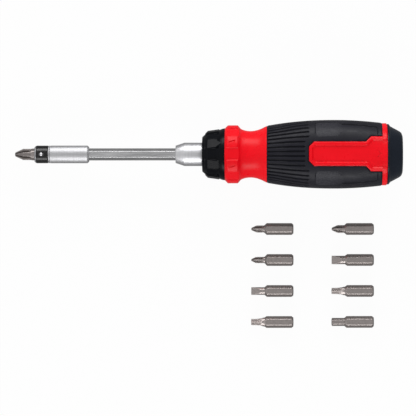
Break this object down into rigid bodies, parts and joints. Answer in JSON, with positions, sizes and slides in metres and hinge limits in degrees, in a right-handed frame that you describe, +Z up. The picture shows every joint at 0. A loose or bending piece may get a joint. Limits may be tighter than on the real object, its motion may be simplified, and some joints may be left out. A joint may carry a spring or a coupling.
{
  "type": "multi-bit screwdriver",
  "caption": "Ratcheting multi-bit screwdriver with a quarter-inch bit holder, a direction collar, a grooved rubber grip, a pull-out bit rack in its handle and loose spare bits.",
  "frame": {"origin": "middle of the footprint of the driver and its spare bits, on the table", "axes": "+X from the bit's tip towards the end cap, +Y away from the spare bits, +Z up"},
  "size_m": [0.2328, 0.1254, 0.0418],
  "materials": {
    "red_plastic": "moulded, satin gloss",
    "black_rubber": "fine matte texture",
    "black_plastic": "moulded, satin",
    "chrome": "bright plated",
    "plated_steel": "satin plated, turned",
    "black_oxide": "black oxide",
    "shaft_steel": "drawn, satin",
    "bit_steel": "sand-blasted, warm grey",
    "hardened_steel": "hardened and oiled",
    "bronze": "sintered",
    "seal_rubber": "smooth"
  },
  "bodies": {
    "handle": {"handle_core": "red_plastic", "rubber_grip": "black_rubber", "ratchet_carrier": "hardened_steel", "carrier_cover": "hardened_steel", "front_bush": "bronze", "rear_bush": "bronze", "forward_pawl_pin": "hardened_steel", "reverse_pawl_pin": "hardened_steel", "selector_detent_ball": "hardened_steel", "selector_detent_spring": "hardened_steel"},
    "drive": {"drive_shaft": "shaft_steel", "bit_holder": "plated_steel", "holder_band": "black_oxide", "bit_lock_ball": "chrome", "holder_magnet": "hardened_steel", "ferrule": "chrome", "ratchet_gear": "hardened_steel", "thrust_washer": "hardened_steel", "retaining_ring": "hardened_steel"},
    "selector": {"selector_collar": "black_plastic"},
    "forward_pawl": {"forward_pawl": "hardened_steel", "forward_pawl_spring": "hardened_steel"},
    "reverse_pawl": {"reverse_pawl": "hardened_steel", "reverse_pawl_spring": "hardened_steel"},
    "mounted_bit": {"mounted_bit": "bit_steel"},
    "cap": {"end_cap": "black_plastic", "cap_o_ring": "seal_rubber", "bit_rack": "black_plastic", "rack_screw": "plated_steel"},
    "bit_cross_large": {"bit_cross_large": "bit_steel"},
    "bit_cross_small": {"bit_cross_small": "bit_steel"},
    "bit_slotted_narrow": {"bit_slotted_narrow": "bit_steel"},
    "bit_star_large": {"bit_star_large": "bit_steel"},
    "bit_cross_medium": {"bit_cross_medium": "bit_steel"},
    "bit_slotted_wide": {"bit_slotted_wide": "bit_steel"},
    "bit_star_small": {"bit_star_small": "bit_steel"},
    "bit_hex": {"bit_hex": "bit_steel"}
  },
  "joints": [
    {"name": "shaft_turn", "type": "hinge", "parent": "handle", "child": "drive", "pos_m": [0.00344, 0.04213, 0.01688], "axis": [0.9981, 0, 0.0613], "continuous": true},
    {"name": "selector_turn", "type": "hinge", "parent": "handle", "child": "selector", "pos_m": [0.00344, 0.04213, 0.01688], "axis": [0.9981, 0, 0.0613], "range_deg": [0, 51.43]},
    {"name": "forward_pawl_swing", "type": "hinge", "parent": "handle", "child": "forward_pawl", "pos_m": [0.0006, 0.0496, 0.02068], "axis": [0.9981, 0, 0.0613], "range_deg": [-9, 0]},
    {"name": "reverse_pawl_swing", "type": "hinge", "parent": "handle", "child": "reverse_pawl", "pos_m": [0.0006, 0.03467, 0.02068], "axis": [0.9981, 0, 0.0613], "range_deg": [-9, 0]},
    {"name": "bit_pull", "type": "slide", "parent": "drive", "child": "mounted_bit", "axis": [-0.9981, 0, -0.0613], "range_m": [0, 0.03]},
    {"name": "cap_pull", "type": "slide", "parent": "handle", "child": "cap", "axis": [0.9981, 0, 0.0613], "range_m": [0, 0.045]},
    {"name": "bit_cross_large_lift", "type": "slide", "parent": "handle", "child": "bit_cross_large", "axis": [0, 0, 1], "range_m": [0, 0.05]},
    {"name": "bit_cross_small_lift", "type": "slide", "parent": "handle", "child": "bit_cross_small", "axis": [0, 0, 1], "range_m": [0, 0.05]},
    {"name": "bit_slotted_narrow_lift", "type": "slide", "parent": "handle", "child": "bit_slotted_narrow", "axis": [0, 0, 1], "range_m": [0, 0.05]},
    {"name": "bit_star_large_lift", "type": "slide", "parent": "handle", "child": "bit_star_large", "axis": [0, 0, 1], "range_m": [0, 0.05]},
    {"name": "bit_cross_medium_lift", "type": "slide", "parent": "handle", "child": "bit_cross_medium", "axis": [0, 0, 1], "range_m": [0, 0.05]},
    {"name": "bit_slotted_wide_lift", "type": "slide", "parent": "handle", "child": "bit_slotted_wide", "axis": [0, 0, 1], "range_m": [0, 0.05]},
    {"name": "bit_star_small_lift", "type": "slide", "parent": "handle", "child": "bit_star_small", "axis": [0, 0, 1], "range_m": [0, 0.05]},
    {"name": "bit_hex_lift", "type": "slide", "parent": "handle", "child": "bit_hex", "axis": [0, 0, 1], "range_m": [0, 0.05]}
  ],
  "couplings": [
    {"joint": "forward_pawl_swing", "follows": "selector_turn", "ratio": -0.1749},
    {"joint": "reverse_pawl_swing", "follows": "selector_turn", "ratio": -0.1749}
  ]
}
